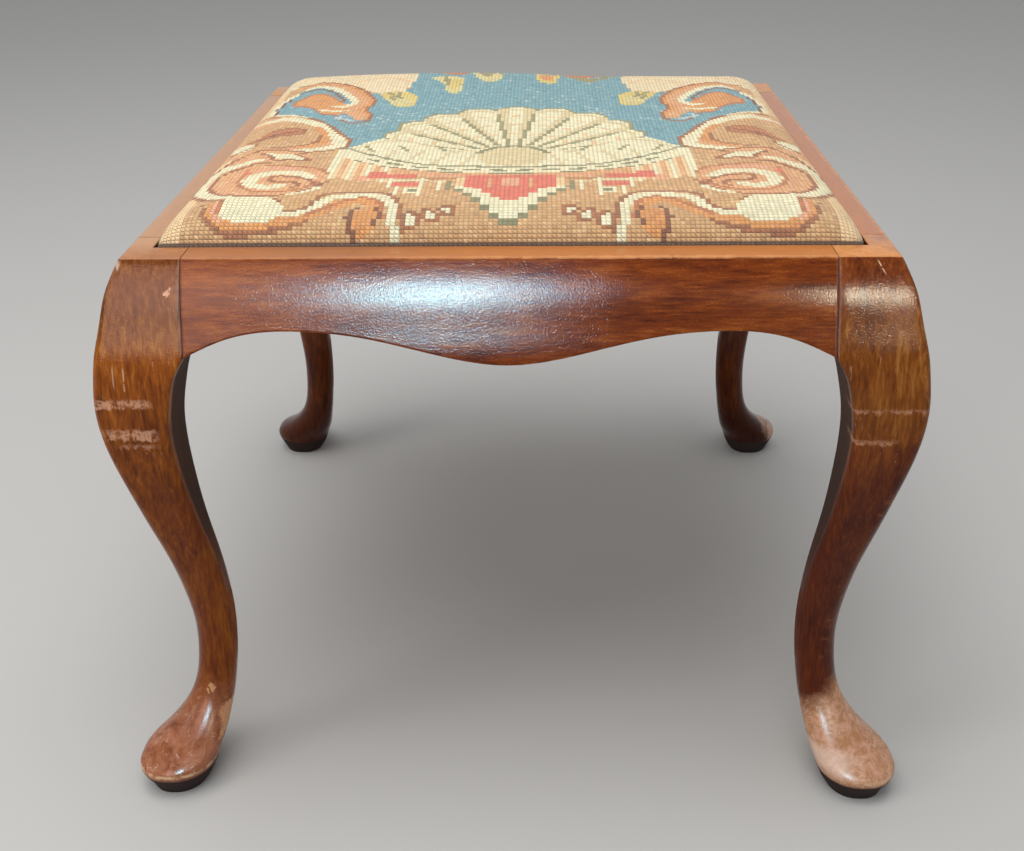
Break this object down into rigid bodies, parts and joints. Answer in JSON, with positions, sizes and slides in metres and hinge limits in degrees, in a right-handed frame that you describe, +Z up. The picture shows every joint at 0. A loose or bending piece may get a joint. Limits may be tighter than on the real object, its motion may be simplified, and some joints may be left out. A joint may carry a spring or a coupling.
{
  "type": "upholstered stool",
  "caption": "Low four-legged stool with cabriole legs, bowed shaped aprons and a lift-out padded seat in cross-stitch needlework.",
  "frame": {"origin": "on the floor, midway between the four feet", "axes": "+Z up, front of the stool towards -Y, +X to the right seen from the front"},
  "size_m": [0.5442, 0.5392, 0.422],
  "materials": {
    "varnished_mahogany": "gloss varnish, worn",
    "glue_block_wood": "bare, aged",
    "beech": "bare, sawn",
    "screw_steel": "dull",
    "tack_steel": "blued",
    "jute_webbing": "herringbone weave",
    "hessian_cloth": "open plain weave",
    "hair_stuffing": "matted hair",
    "cotton_wadding": "soft felt",
    "needlework": "wool cross stitch"
  },
  "bodies": {
    "frame": {"leg_front_left": "varnished_mahogany", "leg_front_right": "varnished_mahogany", "leg_back_left": "varnished_mahogany", "leg_back_right": "varnished_mahogany", "apron_front": "varnished_mahogany", "apron_back": "varnished_mahogany", "apron_left": "varnished_mahogany", "apron_right": "varnished_mahogany", "corner_block_front_left": "glue_block_wood", "corner_block_front_right": "glue_block_wood", "corner_block_back_left": "glue_block_wood", "corner_block_back_right": "glue_block_wood", "corner_block_screws": "screw_steel"},
    "seat": {"seat_rail_front": "beech", "seat_rail_back": "beech", "seat_rail_left": "beech", "seat_rail_right": "beech", "seat_dowels": "beech", "webbing_long_1": "jute_webbing", "webbing_long_2": "jute_webbing", "webbing_long_3": "jute_webbing", "webbing_cross_1": "jute_webbing", "webbing_cross_2": "jute_webbing", "webbing_cross_3": "jute_webbing", "webbing_tacks": "tack_steel", "hessian": "hessian_cloth", "stuffing": "hair_stuffing", "wadding": "cotton_wadding", "seat_cover": "needlework", "cover_tacks": "tack_steel"}
  },
  "joints": [
    {"name": "seat_lift", "type": "slide", "parent": "frame", "child": "seat", "axis": [0, 0, 1], "range_m": [0, 0.08]}
  ]
}
